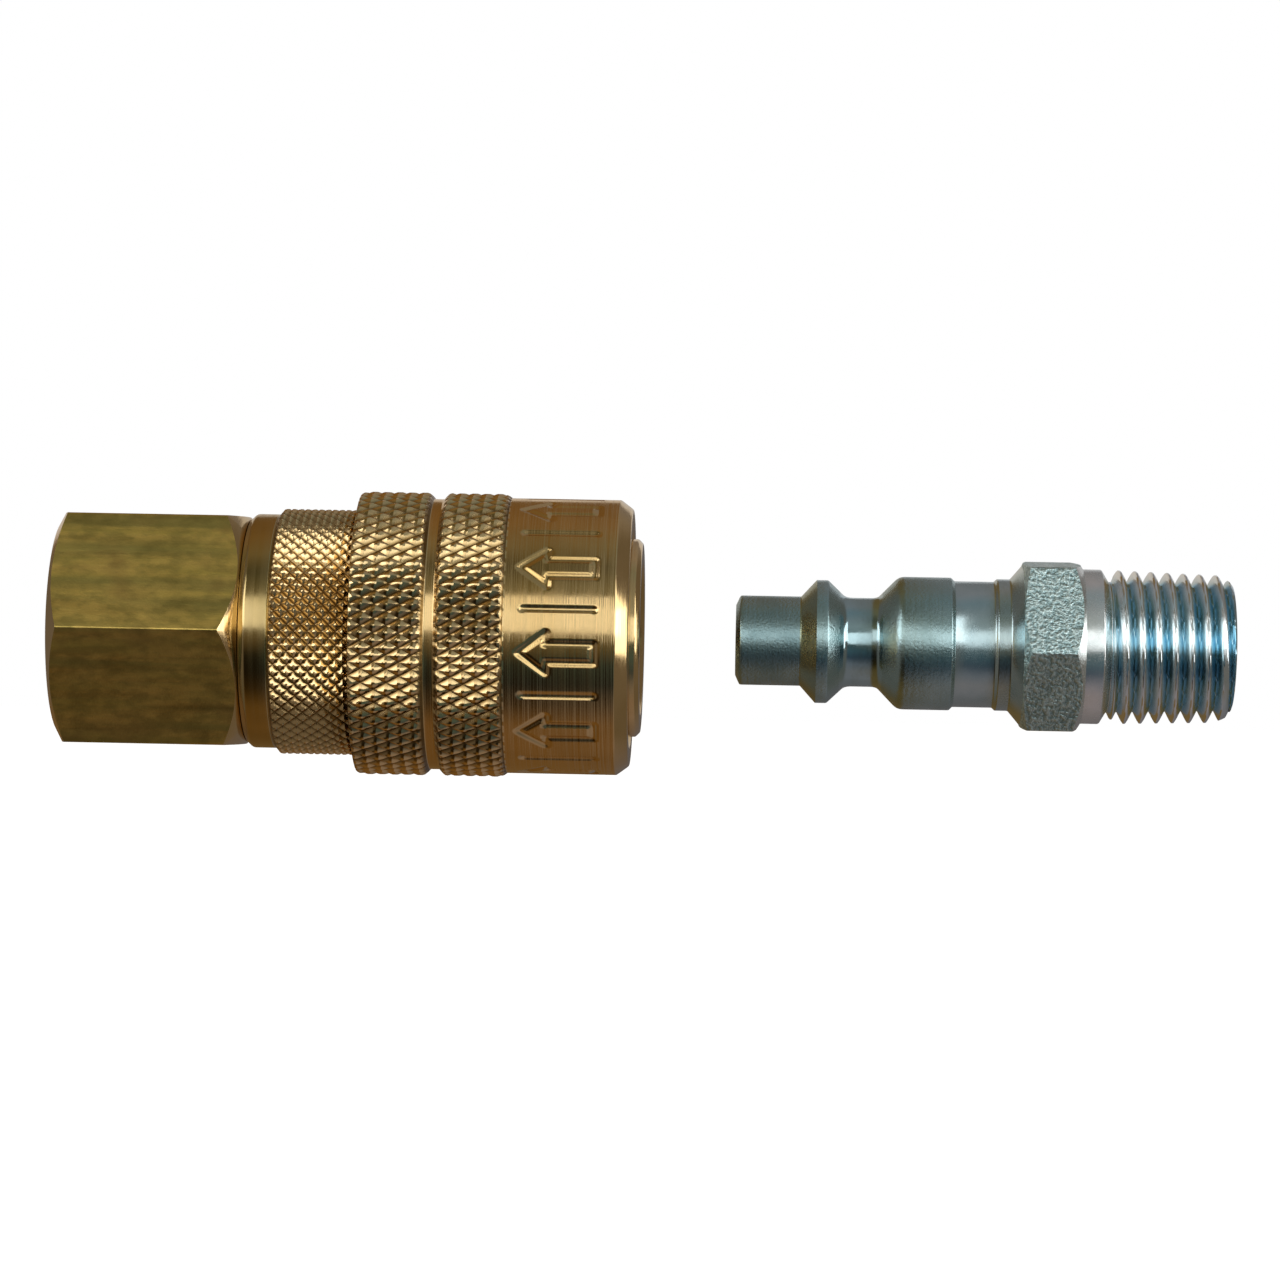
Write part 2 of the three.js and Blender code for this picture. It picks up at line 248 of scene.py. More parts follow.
def tube_faces(rings, sides, first=0):
    """Faces of a tube through rings of points, closed at both ends. Its points start at first."""
    faces = [[first + i for i in reversed(range(sides))]]
    last = first + (rings - 1) * sides
    for here in range(first, last, sides):
        there = here + sides
        for i in range(sides):
            m = (i + 1) % sides
            faces.append([here + i, here + m, there + m, there + i])
    faces.append([last + i for i in range(sides)])
    return faces


def wire_piece(name, centres, wire_r, material, sides=12):
    """A round wire along centres that wind about X, with closed ends."""
    centres = np.asarray(centres)
    along = np.gradient(centres, axis=0)
    along /= np.linalg.norm(along, axis=1, keepdims=True)
    outward = centres * [0, 1, 1]
    outward -= along * np.sum(outward * along, axis=1, keepdims=True)
    outward /= np.linalg.norm(outward, axis=1, keepdims=True)
    across = np.cross(along, outward)
    turn = evenly(sides)[None, :, None]
    ring = outward[:, None] * np.cos(turn) + across[:, None] * np.sin(turn)
    points = (centres[:, None] + wire_r * ring).reshape(-1, 3)
    faces = tube_faces(len(centres), sides)
    return finish_mesh(name, points, faces, [0] * len(faces), [material], sharp=60)


def coil(x0, x1, mean_r, turns, flat_turns=0.0, steps=48):
    """Points of a compression spring whose end turns lie flat."""
    turn = np.linspace(0, turns, round(turns * steps) + 1)
    share = np.clip((turn - flat_turns) / (turns - 2 * flat_turns), 0, 1)
    angle = turn * 2 * math.pi
    return np.column_stack(
        [x0 + (x1 - x0) * share, mean_r * np.cos(angle), mean_r * np.sin(angle)]
    )


# ---- node materials -------------------------------------------------------
class Nodes:
    """A short way to write a node material around one Principled shader."""

    def __init__(self, name, colour, roughness, metallic):
        self.material = bpy.data.materials.new(name)
        self.material.use_nodes = True
        self.tree = self.material.node_tree
        self.shader = self.tree.nodes["Principled BSDF"]
        self.shader.inputs["Base Color"].default_value = (*colour, 1)
        self.shader.inputs["Roughness"].default_value = roughness
        self.shader.inputs["Metallic"].default_value = metallic
        self.place = self.tree.nodes.new("ShaderNodeTexCoord").outputs["Object"]

    def node(self, kind, **inputs):
        """A node with its inputs set to numbers or joined to sockets; an underscore is a space."""
        made = self.tree.nodes.new(kind)
        for name, value in inputs.items():
            self.set(made, name.replace("_", " "), value)
        return made

    def set(self, node, name, value):
        if isinstance(value, bpy.types.NodeSocket):
            self.tree.links.new(value, node.inputs[name])
        else:
            node.inputs[name].default_value = value

    def stretched(self, x, y, z):
        """The place on the object in metres, times a factor along each axis."""
        scaled = self.node("ShaderNodeVectorMath", Vector=self.place)
        scaled.operation = "MULTIPLY"
        scaled.inputs[1].default_value = (x, y, z)
        return scaled.outputs["Vector"]

    def distance_from_axis(self):
        flattened = self.stretched(0, 1, 1)
        made = self.node("ShaderNodeVectorMath", Vector=flattened)
        made.operation = "LENGTH"
        return made.outputs["Value"]

    def noise(self, vector, detail=3):
        made = self.node("ShaderNodeTexNoise", Vector=vector, Scale=1.0, Detail=detail, Roughness=0.5)
        return made.outputs["Fac"]

    def between(self, value, low, high, out_low=0.0, out_high=1.0):
        """out_low where the value is low, out_high where it is high, and in step between them."""
        made = self.node("ShaderNodeMapRange", Value=value)
        made.inputs["From Min"].default_value = low
        made.inputs["From Max"].default_value = high
        made.inputs["To Min"].default_value = out_low
        made.inputs["To Max"].default_value = out_high
        return made.outputs["Result"]

    def mix(self, share, first, second):
        made = self.tree.nodes.new("ShaderNodeMix")
        made.data_type = "RGBA"
        self.set(made, "Factor", share)
        for index, colour in ((6, first), (7, second)):
            if isinstance(colour, bpy.types.NodeSocket):
                self.tree.links.new(colour, made.inputs[index])
            else:
                made.inputs[index].default_value = (*colour, 1)
        return made.outputs[2]

    def sum(self, first, second, weight):
        """The first value plus the second times its weight."""
        made = self.node("ShaderNodeMath")
        made.operation = "MULTIPLY_ADD"
        self.tree.links.new(second, made.inputs[0])
        made.inputs[1].default_value = weight
        self.tree.links.new(first, made.inputs[2])
        return made.outputs["Value"]

    def shade(self, colour, roughness, bump, height_mm):
        self.set(self.shader, "Base Color", colour)
        self.set(self.shader, "Roughness", roughness)
        relief = self.node("ShaderNodeBump", Height=bump, Distance=height_mm * MM)
        self.set(self.shader, "Normal", relief.outputs["Normal"])
        return self.material


def machined_brass(name, line_height, roughness, fresh, dull):
    """Turned brass: fine lines round the piece, and a faint uneven tarnish."""
    made = Nodes(name, fresh, roughness, 1)
    coarse_lines = made.noise(made.stretched(2600, 40, 40))
    fine_lines = made.noise(made.stretched(9000, 60, 60))
    tarnish = made.noise(made.stretched(160, 160, 160), detail=5)
    lines = made.sum(coarse_lines, fine_lines, 0.6)
    colour = made.mix(made.between(tarnish, 0.4, 0.7), fresh, dull)
    wear = made.sum(coarse_lines, tarnish, 0.7)
    gloss = made.between(wear, 0.5, 1.2, roughness - 0.05, roughness + 0.09)
    return made.shade(colour, gloss, lines, line_height)


def knurled_brass(name, knurl):
    """Rolled diamonds: painted shade darkens the colour towards the bottom of the grooves, mixed with
    uneven tarnish; the tips keep the bright brass colour.
    """
    made = Nodes(name, (0.78, 0.56, 0.27), 0.14, 1)
    tarnish = made.noise(made.stretched(260, 260, 260), detail=5)
    scratches = made.noise(made.stretched(1800, 1800, 1800), detail=3)
    crest = knurl["radius"] * MM
    height = made.between(made.distance_from_axis(), crest - knurl["depth"] * MM, crest)
    painted_depth_shading_and_mottle = made.between(made.sum(height, tarnish, 0.5), 0.25, 0.85)
    # painted shade: the colour goes dark brown towards the bottom of the grooves, mixed with uneven
    # tarnish
    colour = made.mix(painted_depth_shading_and_mottle, (0.22, 0.13, 0.04), (0.82, 0.60, 0.30))
    gloss = made.between(painted_depth_shading_and_mottle, 0, 1, 0.34, 0.13)
    return made.shade(colour, gloss, scratches, 0.004)


def drawn_brass():
    """Hexagon bar as drawn: streaks along the bar, olive tarnish and a few brown stains."""
    made = Nodes("drawn_bar_brass", (0.55, 0.39, 0.12), 0.4, 1)
    streaks = made.noise(made.stretched(60, 1100, 1100), detail=4)
    bands = made.noise(made.stretched(25, 420, 420), detail=3)
    mottle = made.noise(made.stretched(650, 1100, 1100), detail=5)
    blotches = made.noise(made.stretched(170, 300, 300), detail=5)
    grain = made.noise(made.stretched(5200, 5200, 5200), detail=2)
    olive = made.mix(made.between(streaks, 0.34, 0.66), (0.98, 0.70, 0.20), (0.60, 0.45, 0.11))
    banded = made.mix(made.between(bands, 0.47, 0.62, 0, 0.70), olive, (0.33, 0.29, 0.09))
    mottled = made.mix(made.between(mottle, 0.40, 0.62, 0, 0.5), banded, (0.30, 0.25, 0.07))
    stained = made.mix(made.between(blotches, 0.53, 0.72, 0, 0.7), mottled, (0.36, 0.23, 0.07))
    gloss = made.between(made.sum(streaks, blotches, 0.8), 0.6, 1.2, 0.30, 0.50)
    return made.shade(stained, gloss, made.sum(streaks, grain, 0.6), 0.02)


def zinc_plate(name, roughness, grain_mm, grain_height, light, dark):
    """Zinc plate on steel: blue tint, cloudy patches, fine grain and faint turning lines."""
    made = Nodes(name, light, roughness, 1)
    clouds = made.noise(made.stretched(420, 300, 300), detail=5)
    grains_per_metre = 1 / (grain_mm * MM)
    grain = made.noise(made.stretched(grains_per_metre, grains_per_metre, grains_per_metre))
    lines = made.noise(made.stretched(3000, 50, 50))
    tint = made.mix(made.between(clouds, 0.35, 0.68), light, dark)
    wear = made.sum(clouds, grain, 0.5)
    gloss = made.between(wear, 0.5, 1.0, roughness - 0.05, roughness + 0.10)
    return made.shade(tint, gloss, made.sum(grain, lines, 0.5), grain_height)


def threaded_zinc():
    """Rolled thread: painted highlight lightens the crests to near white and painted shade darkens the
    roots to a deep blue, mixed with cloudy patches.
    """
    made = Nodes("thread_zinc_plate", (0.6, 0.75, 0.82), 0.2, 1)
    clouds = made.noise(made.stretched(420, 420, 420), detail=4)
    scratches = made.noise(made.stretched(2500, 900, 900), detail=3)
    height = made.between(made.distance_from_axis(), 5.5 * MM, 6.6 * MM)
    painted_depth_shading_and_mottle = made.between(made.sum(height, clouds, 0.6), 0.35, 1.15)
    # painted highlight on the crests and painted shade in the roots, mixed with cloudy patches
    colour = made.mix(painted_depth_shading_and_mottle, (0.40, 0.64, 0.76), (0.86, 0.92, 0.93))
    return made.shade(colour, made.between(clouds, 0.3, 0.7, 0.14, 0.26), scratches, 0.005)


def forged_zinc():
    """Coarse speckled plate on the hexagon: pits and bright grains a third of a millimetre wide."""
    made = Nodes("rough_zinc_plate", (0.6, 0.82, 0.84), 0.32, 1)
    grain = made.noise(made.stretched(3200, 3200, 3200), detail=3)
    clouds = made.noise(made.stretched(420, 420, 420), detail=4)
    speckle = made.between(grain, 0.42, 0.60)
    colour = made.mix(speckle, (0.37, 0.53, 0.55), (0.68, 0.85, 0.85))
    gloss = made.between(made.sum(clouds, grain, 0.5), 0.5, 1.0, 0.26, 0.42)
    return made.shade(colour, gloss, grain, 0.22)


def plain_steel(name, colour, roughness):
    """Polished or drawn steel with a slight uneven gloss."""
    made = Nodes(name, colour, roughness, 1)
    clouds = made.noise(made.stretched(900, 900, 900), detail=3)
    fine = made.noise(made.stretched(7000, 7000, 7000), detail=2)
    tint = made.mix(made.between(clouds, 0.3, 0.7), colour, tuple(0.82 * c for c in colour))
    return made.shade(tint, made.between(clouds, 0.3, 0.7, roughness, roughness + 0.08), fine, 0.002)


def moulded_rubber():
    """Matt black rubber with a moulded skin."""
    made = Nodes("moulded_rubber", (0.025, 0.025, 0.027), 0.6, 0)
    skin = made.noise(made.stretched(3500, 3500, 3500), detail=4)
    dust = made.noise(made.stretched(500, 500, 500), detail=3)
    tint = made.mix(made.between(dust, 0.45, 0.8), (0.022, 0.022, 0.024), (0.05, 0.048, 0.046))
    return made.shade(tint, made.between(skin, 0.3, 0.7, 0.5, 0.72), skin, 0.01)


turned = machined_brass("turned_brass", 0.012, 0.15, (0.78, 0.56, 0.27), (0.66, 0.45, 0.18))
ring_brass = machined_brass("ring_brass", 0.006, 0.18, (0.60, 0.46, 0.22), (0.48, 0.36, 0.15))
coarse_knurled = knurled_brass("coarse_knurl_brass", COARSE_KNURL)
fine_knurled = knurled_brass("fine_knurl_brass", FINE_KNURL)
bar = drawn_brass()
tip_zinc = zinc_plate("tip_zinc_plate", 0.30, 0.2, 0.03, (0.36, 0.51, 0.54), (0.25, 0.38, 0.41))
dull_zinc = zinc_plate("dull_zinc_plate", 0.25, 0.25, 0.02, (0.41, 0.56, 0.58), (0.33, 0.47, 0.48))
neck_zinc = zinc_plate("neck_zinc_plate", 0.14, 0.3, 0.003, (0.44, 0.60, 0.64), (0.38, 0.53, 0.57))
bright_zinc = zinc_plate("bright_zinc_plate", 0.20, 0.25, 0.004, (0.53, 0.65, 0.67), (0.42, 0.55, 0.58))
shank_zinc = zinc_plate("shank_zinc_plate", 0.22, 0.3, 0.004, (0.90, 0.92, 0.90), (0.76, 0.82, 0.83))
rough_zinc = forged_zinc()
thread_zinc = threaded_zinc()
stained_zinc = zinc_plate("stained_zinc_plate", 0.26, 0.25, 0.01, (0.40, 0.46, 0.32), (0.30, 0.39, 0.36))
polished_steel = plain_steel("polished_steel", (0.75, 0.76, 0.78), 0.10)
spring_wire = plain_steel("spring_wire", (0.50, 0.50, 0.51), 0.28)
rubber = moulded_rubber()


# ---- socket pieces --------------------------------------------------------
def make_port_adapter():
    drawn_finish, turned_finish = 0, 1
    angles, hexagon = hex_angles(0, flat_steps=24, corner_r=0.22, flats=SOCKET_HEX_FLATS)
    rear_r, rear_slope = SOCKET_REAR_CONE
    front_r, front_slope = SOCKET_FRONT_CONE
    port_r = 6.8
    outline = Outline(angles)
    outline.add([[0, port_r], [0, rear_r]], turned_finish)
    outline.row((hexagon - rear_r) * rear_slope, hexagon, drawn_finish)
    outline.row(SOCKET_HEX_END - (hexagon - front_r) * front_slope, hexagon, turned_finish)
    for share in (0.25, 0.5, 0.75):
        bulge = 0.2 * share * (1 - share) * (hexagon - front_r)
        cone_x = SOCKET_HEX_END - (hexagon - front_r) * front_slope * (1 - share)
        cone_radius = hexagon * (1 - share) + front_r * share
        outline.row(cone_x + bulge, cone_radius + bulge, turned_finish)
    outline.add(
        softened([
            (SOCKET_HEX_END, front_r, 0), (SOCKET_HEX_END, 7.9, 0), (23.5, 7.9, 0.4), (23.5, 6, 0.1),
            (13, 6, 0.1), (13, 3.6, 0.1), (12.4, 3.6, 0.1), (11.5, 5.3, 0),
        ]),
        turned_finish,
    )

    def crest(x):
        return port_r - x * PIPE_TAPER

    def mouth(x, radius):
        return np.maximum(radius, port_r - x * 1.2)

    add_thread(outline, 10.6, 0.05, crest, 1.2, 14, turned_finish, cut=mouth, inside=True)
    return turned_piece("port_adapter_detailed", outline, [bar, turned], SOCKET_REAR, sharp=24)


def make_front_body():
    knurl_finish, ring_finish = 1, 2
    outline = Outline(evenly(FINE_KNURL["around"] * KNURL_STEPS))
    outline.add(
        softened([
            (SOCKET_HEX_END, 8, 0), (16.62, 9.75, 0.15), (17.2, RING_R, 0.2),
            (19.15, RING_R, 0.06), (19.2, 10.25, 0),
        ]),
        ring_finish,
    )

    def chamfers(x):
        return min(RING_R + (x - 19.25) * 1.3, FINE_R - (x - 29.0) * 0.8)

    add_knurl(outline, 19.3, 29.3, FINE_KNURL, knurl_finish, chamfers)
    outline.add(
        softened([
            (29.4, 10.4, 0), (29.4, 8.7, 0.1), (47.4, 8.7, 0.05), (47.4, 8.15, 0.05),
            (48.6, 8.15, 0.05), (48.6, 8.7, 0.05), (50.8, 8.7, 0.12), (51.2, 8.3, 0.12),
            (51.2, 6.8, 0.1), (50.4, 6, 0.15), (39.75, 6, 0.2), (39.3, 5.55, 0.1),
            (29.5, 5.55, 0.1), (29.5, 4.15, 0.1), (26.3, 4.15, 0.1), (26.3, 6.25, 0.1),
            (24.9, 6.25, 0.1), (24.9, 8, 0.1),
        ], steps=3)
    )
    finishes = [turned, fine_knurled, ring_brass]
    body = turned_piece("front_body_detailed", outline, finishes, SOCKET_REAR)
    cut_ball_holes(body)
    return body


def cut_ball_holes(body):
    """Radial holes that narrow to a lip at the bore, so that the balls can't fall through."""
    sides = 24
    steps = ((5.0, 1.8), (5.75, 1.8), (5.8, 2.06), (9.5, 2.06))  # distance from the axis, radius
    points, faces = [], []
    for number in range(1, BALL_COUNT + 1):
        low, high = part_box(f"locking_ball_{number}")
        centre = (low + high) / 2
        out = Vector((0, centre.y, centre.z)).normalized()
        side = Vector((1, 0, 0))
        up = out.cross(side)
        first = len(points)
        for distance, radius in steps:
            for turn in evenly(sides):
                spoke = side * math.cos(turn) + up * math.sin(turn)
                points.append(Vector((centre.x / MM, 0, 0)) + out * distance + spoke * radius)
        faces.extend(tube_faces(len(steps), sides, first))
    cutter = finish_mesh("ball_hole_cutter", points, faces, [0] * len(faces), [turned])
    cut = body.modifiers.new("ball_holes", "BOOLEAN")
    cut.operation = "DIFFERENCE"
    cut.object = cutter
    cut.solver = "EXACT"
    bpy.context.view_layer.objects.active = body
    bpy.ops.object.modifier_apply(modifier=cut.name)
    bpy.data.objects.remove(cutter)


# Marks on the sleeve: lines through (along X, around) places, measured from each mark's centre.
ARROW = (
    (-3.3, 0), (-1.0, 1.75), (-1.0, 0.8), (3.1, 0.8), (3.1, -0.8), (-1.0, -0.8), (-1.0, -1.75),
    (-3.3, 0),
)
BAR = ((-3.0, 0), (3.1, 0))
MARK_COUNT = 10
MARK_CENTRE = 44.3
MARK_TURN = 0.12
MARK_STEP = 0.16
MARK_DEPTH = 0.16
MARK_HALF_WIDTH = 0.34


def distance_to_line(along, across, line):
    """Distance of each place from a line drawn through the given points."""
    nearest = np.full(np.broadcast(along, across).shape, np.inf)
    for (x0, y0), (x1, y1) in zip(line, line[1:]):
        run = np.array([x1 - x0, y1 - y0])
        share = ((along - x0) * run[0] + (across - y0) * run[1]) / np.dot(run, run)
        share = np.clip(share, 0, 1)
        gap = np.hypot(along - x0 - share * run[0], across - y0 - share * run[1])
        nearest = np.minimum(nearest, gap)
    return nearest


def add_stamped_marks(outline, x0, x1):
    """Smooth rows with plain arrow outlines pressed in, which show the way to pull the sleeve."""
    spacing = 2 * math.pi / MARK_COUNT
    place = (outline.angles + MARK_TURN) / spacing
    across = ((place + 0.5) % 1 - 0.5) * spacing * MARK_RADIUS
    between = (place % 1 - 0.5) * spacing * MARK_RADIUS
    for x in np.linspace(x0, x1, round((x1 - x0) / MARK_STEP) + 1):
        along = x - MARK_CENTRE
        to_arrow = distance_to_line(along, across, ARROW)
        to_bar = distance_to_line(along, between, BAR)
        gap = np.minimum(to_arrow, to_bar)
        pressed = np.clip(1 - (gap / MARK_HALF_WIDTH) ** 2, 0, 1)
        outline.row(x, MARK_RADIUS - MARK_DEPTH * pressed)


def make_sleeve():
    knurl_finish = 1
    outline = Outline(evenly(COARSE_KNURL["around"] * KNURL_STEPS))
    shoulder = softened([(26.2, 11.35, 0), (26.25, COARSE_R, 0.85), (28, COARSE_R, 0)], steps=8)

    def rear_edges(x):
        return min(np.interp(x, shoulder[:, 0], shoulder[:, 1]), COARSE_R - (x - 32.3))

    def front_edges(x):
        return min(COARSE_R + (x - 34.15), COARSE_R - (x - 39.2))

    outline.add([[26.2, 11.1], [26.2, 11.3]])
    add_knurl(outline, 26.25, 32.75, COARSE_KNURL, knurl_finish, rear_edges)
    outline.add(
        softened([(32.8, 11.92, 0), (32.85, 11.9, 0.03), (33.6, 11.9, 0.05), (33.65, 11.92, 0)])
    )
    add_knurl(outline, 33.7, 39.45, COARSE_KNURL, knurl_finish, front_edges)
    outline.add([[39.6, MARK_RADIUS]])
    add_stamped_marks(outline, 39.75, 49.05)
    outline.add(
        softened([
            (49.1, MARK_RADIUS, 0), (49.2, MARK_RADIUS, 0.08), (50.15, 11.4, 0.12),
            (50.3, 11.25, 0.1), (50.3, 9.75, 0.1), (49.95, 9.4, 0.1), (44.6, 9.4, 0),
            (44.6, 8.8, 0), (41.6, 8.8, 0), (41, 10, 0), (38.07, 10, 0.2), (34.34, 8.8, 0.3),
            (33.2, 8.8, 0), (33.2, 11.1, 0),
        ], steps=2)
    )
    return turned_piece("locking_sleeve_detailed", outline, [turned, coarse_knurled], SOCKET_REAR)


def make_plug_seal():
    outline = Outline(evenly(96))
    outline.add(
        softened([
            (29.55, 4.3, 0), (29.55, 5.5, 0.2), (31.85, 5.5, 0.2), (31.85, 4.35, 0.15),
            (31.2, 3.98, 0.3), (30.2, 3.98, 0.3), (29.56, 4.28, 0),
        ])
    )
    return turned_piece("plug_seal_detailed", outline, [rubber], SOCKET_REAR)


def make_seal_washer():
    outline = Outline(evenly(96))
    outline.add(
        softened([
            (31.9, 4.32, 0), (31.9, 5.5, 0.1), (32.4, 5.5, 0.1), (32.4, 4.3, 0.1), (31.92, 4.3, 0),
        ])
    )
    return turned_piece("seal_washer_detailed", outline, [spring_wire], SOCKET_REAR)


def make_body_o_ring():
    outline = Outline(evenly(96))
    low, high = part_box("body_o_ring")
    centre = (low.x + high.x) / 2 / MM - SOCKET_REAR
    ring_r, cord_r = 7.1, 0.58
    for turn in -evenly(16):
        outline.row(centre + cord_r * math.cos(turn), ring_r + cord_r * math.sin(turn))
    return turned_piece("body_o_ring_detailed", outline, [rubber], SOCKET_REAR)


def make_ball(number):
    low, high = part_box(f"locking_ball_{number}")
    centre = (low + high) / 2
    bpy.ops.mesh.primitive_uv_sphere_add(
        segments=40, ring_count=24, radius=BALL_R * MM, location=centre
    )
    ball = bpy.context.object
    ball.name = f"locking_ball_detailed_{number}"
    ball.data.name = ball.name
    ball.data.shade_smooth()
    ball.data.materials.append(polished_steel)
    return ball


def make_snap_ring():
    half_gap = math.radians(12)
    angle = math.pi / 2 + np.linspace(half_gap, 2 * math.pi - half_gap, 120)
    low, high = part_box("sleeve_snap_ring")
    centre = (low.x + high.x) / 2 / MM
    ring_r, wire_r = 8.7, 0.5
    path = np.column_stack(
        [np.full(angle.shape, centre), ring_r * np.cos(angle), ring_r * np.sin(angle)]
    )
    return wire_piece("sleeve_snap_ring_detailed", path, wire_r, spring_wire)


# ---- plug -----------------------------------------------------------------
def make_plug():
    finishes = [
        dull_zinc, rough_zinc, thread_zinc, neck_zinc, stained_zinc, bright_zinc, tip_zinc, shank_zinc,
    ]
    dull, rough, thread, neck, stained, bright, tip, shank = range(len(finishes))
    angles, hexagon = hex_angles(PLUG_HEX_TURN, flat_steps=26, corner_r=0.3, flats=PLUG_HEX_FLATS)
    front_r, front_slope = PLUG_FRONT_CONE
    shank_r, rear_slope = PLUG_REAR_CONE
    tip_r, collar_r, groove_r, body_r = 3.925, 5.4, 3.9, 5.825
    bore_r, rear_bore_r = 2.75, 3.8
    end_x = 43.4
    outline = Outline(angles)
    outline.add(
        softened([
            (0.45, bore_r, 0), (0.02, 3.02, 0.1), (0.42, 3.9, 0.2), (0.6, tip_r, 0.1), (5.6, tip_r, 0),
        ]),
        tip,
    )
    outline.add(softened([(5.65, tip_r, 0), (5.75, tip_r, 0.05), (7.05, 5.35, 0)]), stained)
    outline.add(softened([(7.1, collar_r, 0), (8.1, collar_r, 0.12), (9.1, 4.45, 0)]), dull)
    outline.add(
        softened(
            [(9.15, 4.4, 0), (9.68, groove_r, 0.6), (12.42, groove_r, 0.6), (12.8, 4.289, 0)], steps=6
        ),
        neck,
    )
    outline.add(
        softened([(12.85, 4.34, 0), (14.3, body_r, 0.5), (18.84, body_r, 0.1), (19.1, 5.56, 0)]),
        dull,
    )
    outline.add(
        softened([
            (19.15, 5.525, 0), (22.6, 5.525, 0.1), (22.85, 5.775, 0.1), (24, 5.775, 0.12),
            (PLUG_HEX_START, front_r, 0),
        ]),
        bright,
    )
    outline.finish[-1] = rough  # the faces in front of the hexagon's first row
    outline.row(PLUG_HEX_START + (hexagon - front_r) * front_slope, hexagon, rough)
    outline.row(PLUG_HEX_END - (hexagon - shank_r) * rear_slope, hexagon, shank)
    outline.add(
        softened([
            (PLUG_HEX_END, shank_r, 0), (31.95, shank_r, 0.12), (32.5, 5.85, 0.15), (32.6, 5.72, 0),
        ]),
        shank,
    )

    end = np.array([[41.4, 7.2], [42.1, 6.42], [42.7, 6.18], [43.15, 5.95], [end_x, 5.6]])

    def crest(x):
        return 6.75 - (x - 33) * PIPE_TAPER

    def end_round(x, radius):
        return np.minimum(radius, np.interp(x, end[:, 0], end[:, 1], left=20))

    add_thread(outline, 32.65, end_x, crest, 0.5, 20, thread, cut=end_round)
    outline.add(
        softened([
            (end_x, 5.5, 0), (end_x, 4.1, 0.1), (43.05, rear_bore_r, 0.1), (20.5, rear_bore_r, 0.2),
            (19.5, bore_r, 0.2), (10, bore_r, 0),
        ]),
        dull,
    )
    return turned_piece("plug_detailed", outline, finishes, PLUG_TIP)


def stand_for(piece, node, body):
    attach(piece, body)
    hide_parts(node)


stand_for(make_port_adapter(), "port_adapter", "socket_body")
stand_for(make_front_body(), "front_body", "socket_body")
stand_for(make_body_o_ring(), "body_o_ring", "socket_body")
stand_for(make_plug_seal(), "plug_seal", "socket_body")
stand_for(make_seal_washer(), "seal_washer", "socket_body")
stand_for(make_snap_ring(), "sleeve_snap_ring", "socket_body")
stand_for(make_sleeve(), "locking_sleeve", "sleeve")
stand_for(make_plug(), "plug", "plug")
for ball_number in range(1, BALL_COUNT + 1):
    ball_node = f"locking_ball_{ball_number}"
    stand_for(make_ball(ball_number), ball_node, f"ball_{ball_number}")


def stretch_spring(name, node, mean_r, wire_r, turns, flat_turns):
    """A coiled spring that fills the length of its part, in place of that part."""
    low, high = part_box(node)
    inset = wire_r + 0.02
    x0, x1 = low.x / MM + inset, high.x / MM - inset
    spring = wire_piece(name, coil(x0, x1, mean_r, turns, flat_turns), wire_r, spring_wire)
    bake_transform(spring)
    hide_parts(node)


stretch_spring("valve_spring_detailed", "valve_spring", 4.4, 0.42, 6.0, 0.75)
stretch_spring("sleeve_spring_detailed", "sleeve_spring", 9.65, 0.4, 3.0, 0.0)

for cad_node, material in (("valve_poppet", turned), ("valve_seal", rubber)):
    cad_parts[cad_node].material_slots[0].material = material


# ---- studio ---------------------------------------------------------------
CAMERA_DISTANCE = 0.370
CAMERA_RIGHT = 0.0104
CAMERA_AIM = (-0.00037, 0, -0.00017)
CAMERA_ROLL = math.radians(1.1)
FIELD = 0.11264  # width of the view at the object
SENSOR = 36


def make_camera():
    data = bpy.data.cameras.new("camera")
    data.sensor_width = SENSOR
    data.lens = SENSOR * CAMERA_DISTANCE / FIELD
    data.clip_start = 0.01
    camera = bpy.data.objects.new("camera", data)
    camera.location = (CAMERA_RIGHT, -CAMERA_DISTANCE, 0)
    aim = Vector(CAMERA_AIM) - camera.location
    look = aim.to_track_quat("-Z", "Y")
    camera.rotation_mode = "QUATERNION"
    camera.rotation_quaternion = look @ Quaternion((0, 0, 1), CAMERA_ROLL)
    bpy.context.scene.collection.objects.link(camera)
    bpy.context.scene.camera = camera


KEY_DISTANCE = 0.5


def softbox(name, place, aim, width, height, power):
    """A soft light, which is out of the camera's sight. Metres and watts."""
    data = bpy.data.lights.new(name, "AREA")
    data.shape = "RECTANGLE"
    data.size, data.size_y = width, height
    data.energy = power
    light = bpy.data.objects.new(name, data)
    light.location = place
    light.rotation_mode = "QUATERNION"
    light.rotation_quaternion = (Vector(aim) - Vector(place)).to_track_quat("-Z", "Y")
    light.visible_camera = False
    bpy.context.scene.collection.objects.link(light)


def key_box(name, degrees, x, width, height, power):
    """A softbox that faces the X axis at x from in front, the given angle above it."""
    angle = math.radians(degrees)
    place = (x, -KEY_DISTANCE * math.cos(angle), KEY_DISTANCE * math.sin(angle))
    softbox(name, place, (x, 0, 0), width, height, power)


def make_lights():
    key_box("key_over_socket", 18, -0.155, 0.29, 0.27, 0.26)
    key_box("key_over_plug", 10, 0.155, 0.29, 0.25, 0.25)
    key_box("key_far_left", 31, -0.80, 1.0, 0.50, 3.1)
    key_box("key_far_right", 29, 0.80, 1.0, 0.50, 2.9)
    softbox("side_left", (-0.5, -0.15, 0.08), (0, 0, 0), 0.3, 0.25, 0.12)
    softbox("side_right", (0.5, -0.17, 0.03), (0, 0, 0), 0.28, 0.25, 0.48)
    softbox("back_top", (0, 0.48, 0.13), (0, 0, 0), 0.6, 0.2, 0.16)


